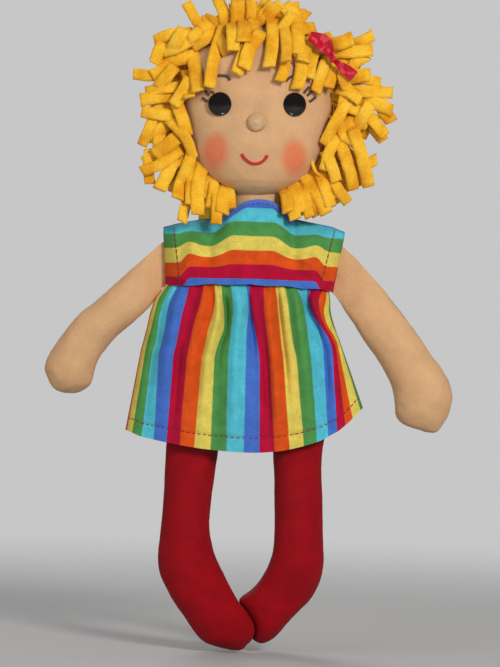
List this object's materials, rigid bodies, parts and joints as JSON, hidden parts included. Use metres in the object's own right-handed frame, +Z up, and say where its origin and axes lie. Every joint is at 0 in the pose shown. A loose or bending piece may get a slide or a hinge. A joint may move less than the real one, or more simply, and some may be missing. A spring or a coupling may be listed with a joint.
{
  "type": "rag doll",
  "caption": "Stuffed cloth doll with button eyes, fleece strip hair with a ribbon bow, a striped gathered dress, and arms, legs and head that swing on sewn seams.",
  "frame": {"origin": "centre of the outer face of the placket at the back of the dress", "axes": "+Z up along the doll, the face looks along -Y, +X to the picture's right"},
  "size_m": [0.2669, 0.0907, 0.4351],
  "materials": {
    "flesh_cloth": "matte",
    "leg_cloth": "matte",
    "fibre_filling": "matte",
    "nose_bead": "satin",
    "eye_button": "polished",
    "brown_thread": "matte",
    "mouth_thread": "matte",
    "fleece_strip": "matte",
    "satin_ribbon": "satin",
    "fastener_tape": "matte",
    "blue_binding": "matte",
    "dress_thread": "matte",
    "striped_dress": "matte"
  },
  "bodies": {
    "torso": {"torso_skin": "flesh_cloth", "torso_filling": "fibre_filling", "bodice_front": "striped_dress", "bodice_back_left": "striped_dress", "bodice_back_right": "striped_dress", "neck_binding": "blue_binding", "skirt_front": "striped_dress", "skirt_back": "striped_dress", "hem_stitching_front": "dress_thread", "hem_stitching_back": "dress_thread", "closure_loop_tape": "fastener_tape", "closure_hook_tape": "fastener_tape", "back_placket": "striped_dress", "arm_left_seam": "flesh_cloth", "arm_right_seam": "flesh_cloth", "leg_left_seam": "leg_cloth", "leg_right_seam": "leg_cloth"},
    "head": {"head_skin": "flesh_cloth", "head_filling": "fibre_filling", "eye_left": "eye_button", "eye_right": "eye_button", "nose": "nose_bead", "mouth": "mouth_thread", "brow_left": "brown_thread", "brow_right": "brown_thread", "hair_cap": "fleece_strip", "hair_fringe": "fleece_strip", "hair_tuft": "fleece_strip", "hair_row_front": "fleece_strip", "hair_row_middle": "fleece_strip", "hair_row_crown": "fleece_strip", "hair_tier_1": "fleece_strip", "hair_tier_2": "fleece_strip", "hair_tier_3": "fleece_strip", "hair_tier_4": "fleece_strip", "bow_knot": "satin_ribbon", "bow_loop": "satin_ribbon", "bow_tail": "satin_ribbon"},
    "arm_left": {"arm_left_skin": "flesh_cloth", "arm_left_filling": "fibre_filling"},
    "arm_right": {"arm_right_skin": "flesh_cloth", "arm_right_filling": "fibre_filling"},
    "leg_left": {"leg_left_skin": "leg_cloth", "leg_left_filling": "fibre_filling"},
    "leg_right": {"leg_right_skin": "leg_cloth", "leg_right_filling": "fibre_filling"}
  },
  "joints": [
    {"name": "head_nod", "type": "hinge", "parent": "torso", "child": "head", "pos_m": [0, -0.0282, 0.04], "axis": [1, 0, 0], "range_deg": [-12, 10], "stiffness_Nm_per_rad": 0.35},
    {"name": "arm_left_swing", "type": "hinge", "parent": "torso", "child": "arm_left", "pos_m": [-0.0585, -0.0282, -0.0055], "axis": [0, 0, 1], "range_deg": [-60, 70], "deforming": ["skirt_front", "skirt_back", "hem_stitching_front", "hem_stitching_back"]},
    {"name": "arm_right_swing", "type": "hinge", "parent": "torso", "child": "arm_right", "pos_m": [0.0585, -0.0282, -0.0055], "axis": [0, 0, -1], "range_deg": [-60, 70], "deforming": ["skirt_front", "skirt_back", "hem_stitching_front", "hem_stitching_back"]},
    {"name": "leg_left_swing", "type": "hinge", "parent": "torso", "child": "leg_left", "pos_m": [-0.03602, -0.0282, -0.1015], "axis": [-1, 0, 0], "range_deg": [-20, 90], "deforming": ["skirt_front", "skirt_back", "hem_stitching_front", "hem_stitching_back"]},
    {"name": "leg_right_swing", "type": "hinge", "parent": "torso", "child": "leg_right", "pos_m": [0.03425, -0.0282, -0.1015], "axis": [-1, 0, 0], "range_deg": [-20, 90], "deforming": ["skirt_front", "skirt_back", "hem_stitching_front", "hem_stitching_back"]}
  ]
}
